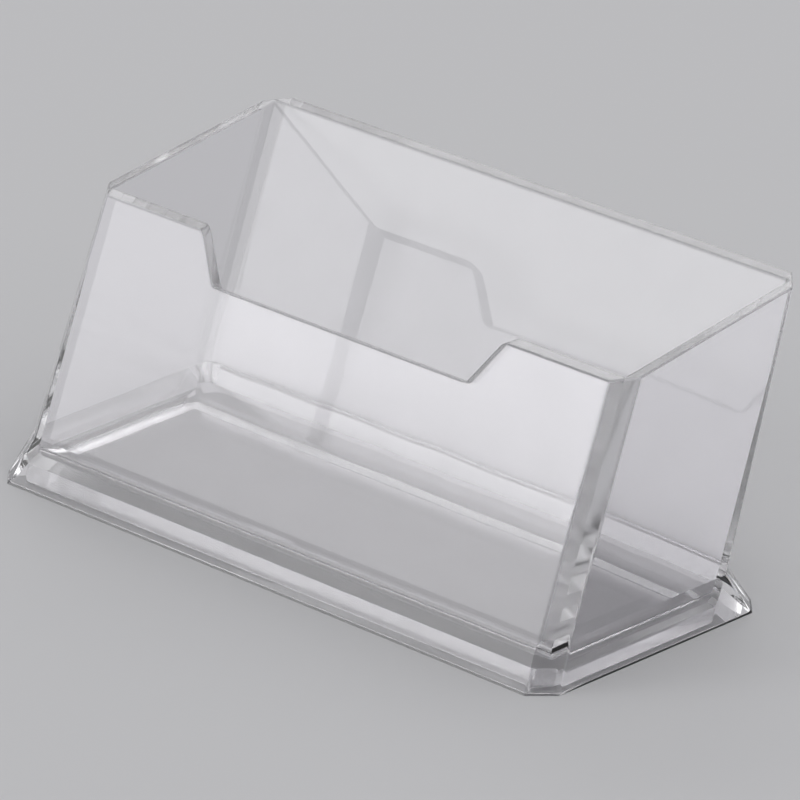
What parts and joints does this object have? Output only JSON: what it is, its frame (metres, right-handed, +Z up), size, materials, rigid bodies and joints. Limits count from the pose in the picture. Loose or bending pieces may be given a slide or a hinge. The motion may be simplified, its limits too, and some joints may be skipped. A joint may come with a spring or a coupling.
{
  "type": "business card holder stand",
  "caption": "Clear plastic desk stand that holds business cards upright in a leaning, open-topped pocket with a thumb notch in its low front wall and a flared foot.",
  "frame": {"origin": "middle of the whole width and depth, on the table", "axes": "+X across the cards, +Y from the notched front wall towards the back wall, +Z up"},
  "size_m": [0.0998, 0.0504, 0.0412],
  "materials": {
    "clear_plastic": "clear, polished"
  },
  "bodies": {
    "root": {"front_panel": "clear_plastic", "back_panel": "clear_plastic", "left_side_panel": "clear_plastic", "right_side_panel": "clear_plastic", "floor_plate": "clear_plastic", "front_foot_rail": "clear_plastic", "back_foot_rail": "clear_plastic", "left_foot_rail": "clear_plastic", "right_foot_rail": "clear_plastic"}
  },
  "joints": []
}
